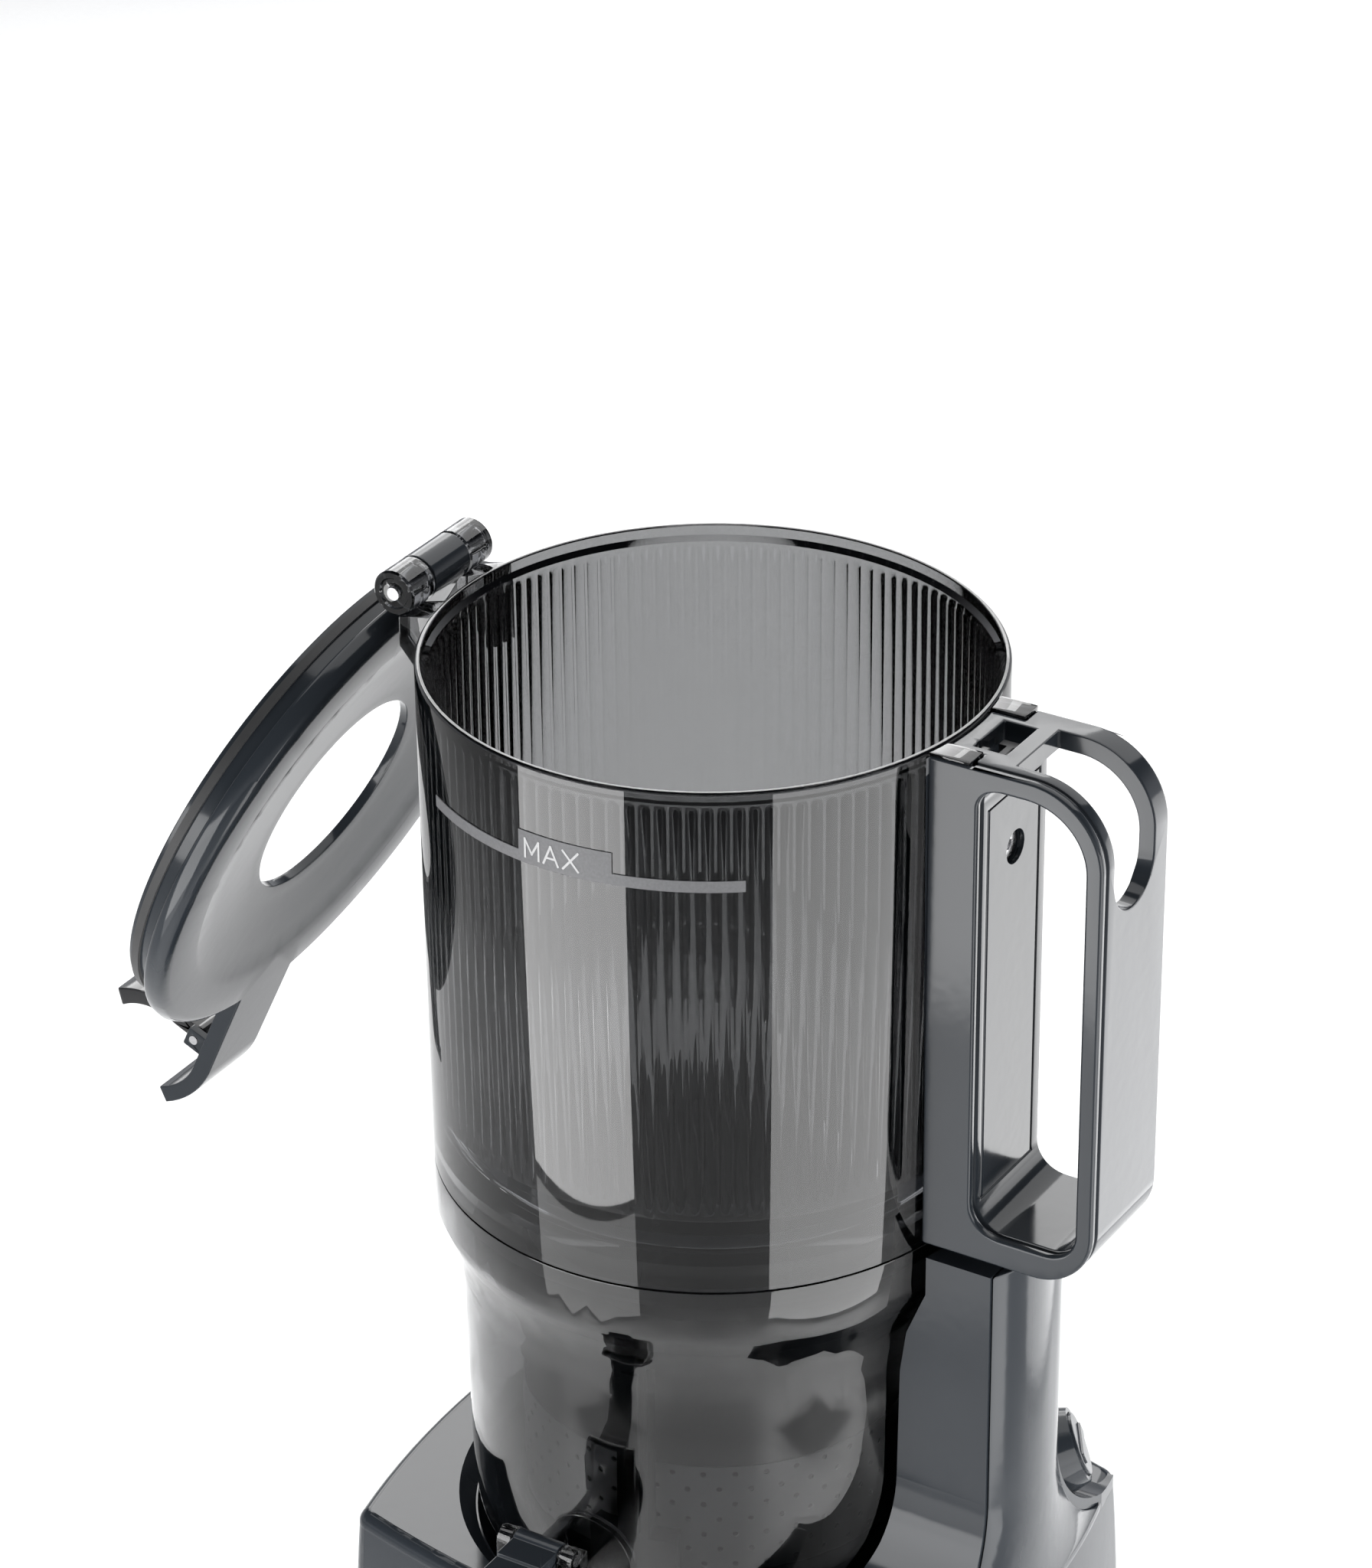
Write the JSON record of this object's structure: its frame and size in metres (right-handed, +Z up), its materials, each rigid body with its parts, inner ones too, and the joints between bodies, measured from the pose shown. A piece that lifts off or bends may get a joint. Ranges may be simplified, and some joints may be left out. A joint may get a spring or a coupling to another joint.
{
  "type": "vertical slow juicer",
  "caption": "Vertical slow juicer: clear smoke-grey hopper with a loop handle and a hinged lid, over a bowl with strainer and auger, on a motor base with a side tower.",
  "frame": {"origin": "on the hopper axis, on the surface that the feet stand on", "axes": "+Z up, +X towards the handle and tower, -Y towards the juice spout at the front, -X towards the lid hinge"},
  "size_m": [0.302, 0.1923, 0.427],
  "materials": {
    "case_plastic": "gunmetal grey ABS, gloss",
    "panel_plastic": "darker grey ABS panel, gloss",
    "black_plastic": "black moulded plastic",
    "button_plastic": "grey ABS, satin",
    "grey_plastic": "grey glass-filled nylon",
    "white_plastic": "natural acetal",
    "auger_plastic": "black glass-filled plastic",
    "smoke_clear": "smoke-tinted clear copolyester, polished",
    "print": "screen-printed light grey ink",
    "silicone": "black silicone",
    "rubber": "black rubber",
    "steel": "turned stainless steel",
    "mesh_steel": "perforated stainless sheet",
    "zinc_steel": "zinc-plated steel can",
    "copper": "enamelled copper windings",
    "brass": "sintered bronze",
    "board": "green circuit board"
  },
  "bodies": {
    "base": {"lower_case": "case_plastic", "control_panel": "panel_plastic", "circuit_board": "board", "bottom_cover": "black_plastic", "cover_screws": "steel", "feet": "rubber", "power_inlet": "black_plastic", "top_cover": "case_plastic", "tower_shell": "case_plastic", "interlock_switch": "black_plastic", "motor_can": "zinc_steel", "motor_stator": "copper", "motor_bearings": "brass", "motor_mount": "rubber", "gear_case": "grey_plastic", "gear_case_lid": "grey_plastic", "layshaft_axle": "steel", "drive_bush": "brass", "drive_seal": "rubber"},
    "start_button": {"start_button": "button_plastic"},
    "reverse_button": {"reverse_button": "button_plastic"},
    "mode_dial": {"mode_dial": "case_plastic"},
    "switch_plunger": {"switch_plunger": "white_plastic"},
    "motor_rotor": {"motor_rotor": "steel"},
    "layshaft_gear": {"layshaft_gear": "white_plastic"},
    "drive_shaft": {"drive_shaft": "steel"},
    "bowl": {"bowl": "smoke_clear", "bowl_gasket": "silicone", "hub_bush": "white_plastic", "idler_axle": "steel", "cap_pin": "steel", "pulp_plug": "silicone"},
    "spout_cap": {"spout_cap": "case_plastic"},
    "idler_gear": {"idler_gear": "white_plastic"},
    "strainer": {"strainer": "black_plastic", "strainer_mesh": "mesh_steel"},
    "wiper": {"wiper_carrier": "black_plastic", "wiper_blades": "silicone"},
    "auger": {"auger": "auger_plastic", "drive_socket": "steel", "feed_blade": "auger_plastic"},
    "hopper": {"hopper": "smoke_clear", "max_mark": "print", "hinge_pin": "steel", "handle_front_plate": "case_plastic", "handle_frame": "case_plastic", "handle_liner": "case_plastic", "handle_screw": "steel"},
    "interlock_rod": {"interlock_rod": "black_plastic"},
    "lid": {"lid": "case_plastic", "lid_seal": "silicone", "trigger_pin": "steel"},
    "latch_trigger": {"latch_trigger": "black_plastic"}
  },
  "joints": [
    {"name": "bowl_lift", "type": "slide", "parent": "base", "child": "bowl", "axis": [0, 0, 1], "range_m": [0, 0.17]},
    {"name": "strainer_lift", "type": "slide", "parent": "bowl", "child": "strainer", "axis": [0, 0, 1], "range_m": [0, 0.14]},
    {"name": "hopper_lift", "type": "slide", "parent": "strainer", "child": "hopper", "axis": [0, 0, 1], "range_m": [0, 0.08]},
    {"name": "lid_hinge", "type": "hinge", "parent": "hopper", "child": "lid", "pos_m": [-0.081, 0, 0.421], "axis": [0, 1, 0], "range_deg": [0, 245.6]},
    {"name": "latch_trigger_pivot", "type": "hinge", "parent": "lid", "child": "latch_trigger", "pos_m": [-0.15848, -0.00075, 0.26399], "axis": [0, -1, 0], "range_deg": [0, 12], "stiffness_Nm_per_rad": 0.05, "springref_deg": -11.46},
    {"name": "interlock_rod_slide", "type": "slide", "parent": "hopper", "child": "interlock_rod", "axis": [0, 0, -1], "range_m": [0, 0.0028], "stiffness_N_per_m": 120, "springref_m": -0.003},
    {"name": "switch_plunger_slide", "type": "slide", "parent": "base", "child": "switch_plunger", "axis": [0, 0, -1], "range_m": [0, 0.00245], "stiffness_N_per_m": 60, "springref_m": -0.002},
    {"name": "spout_cap_hinge", "type": "hinge", "parent": "bowl", "child": "spout_cap", "pos_m": [0, -0.086, 0.2056], "axis": [-1, 0, 0], "range_deg": [0, 95]},
    {"name": "start_button_press", "type": "slide", "parent": "base", "child": "start_button", "axis": [0, 1, 0], "range_m": [0, 0.0015], "stiffness_N_per_m": 400, "springref_m": -0.001},
    {"name": "reverse_button_press", "type": "slide", "parent": "base", "child": "reverse_button", "axis": [0, 1, 0], "range_m": [0, 0.0015], "stiffness_N_per_m": 400, "springref_m": -0.001},
    {"name": "mode_dial_turn", "type": "hinge", "parent": "base", "child": "mode_dial", "pos_m": [0.0832, 0.0445, 0.1875], "axis": [0.7923, 0.4952, 0.3565], "range_deg": [-45, 45]},
    {"name": "auger_spin", "type": "hinge", "parent": "strainer", "child": "auger", "pos_m": [0, 0, 0.1], "axis": [0, 0, 1], "continuous": true},
    {"name": "wiper_spin", "type": "hinge", "parent": "strainer", "child": "wiper", "pos_m": [0, 0, 0.1], "axis": [0, 0, 1], "continuous": true},
    {"name": "idler_spin", "type": "hinge", "parent": "bowl", "child": "idler_gear", "pos_m": [0, 0.027, 0.1], "axis": [0, 0, 1], "continuous": true},
    {"name": "drive_spin", "type": "hinge", "parent": "base", "child": "drive_shaft", "pos_m": [0, 0, 0.1], "axis": [0, 0, 1], "continuous": true},
    {"name": "layshaft_spin", "type": "hinge", "parent": "base", "child": "layshaft_gear", "pos_m": [0.032, 0, 0.1], "axis": [0, 0, 1], "continuous": true},
    {"name": "motor_spin", "type": "hinge", "parent": "base", "child": "motor_rotor", "pos_m": [0, 0, 0.1], "axis": [0, 0, 1], "continuous": true}
  ],
  "couplings": [
    {"joint": "wiper_spin", "follows": "auger_spin", "ratio": -0.2},
    {"joint": "idler_spin", "follows": "auger_spin", "ratio": -0.5},
    {"joint": "drive_spin", "follows": "auger_spin", "ratio": 1},
    {"joint": "layshaft_spin", "follows": "auger_spin", "ratio": -3},
    {"joint": "motor_spin", "follows": "auger_spin", "ratio": 13},
    {"joint": "switch_plunger_slide", "follows": "interlock_rod_slide", "ratio": 0.857}
  ]
}
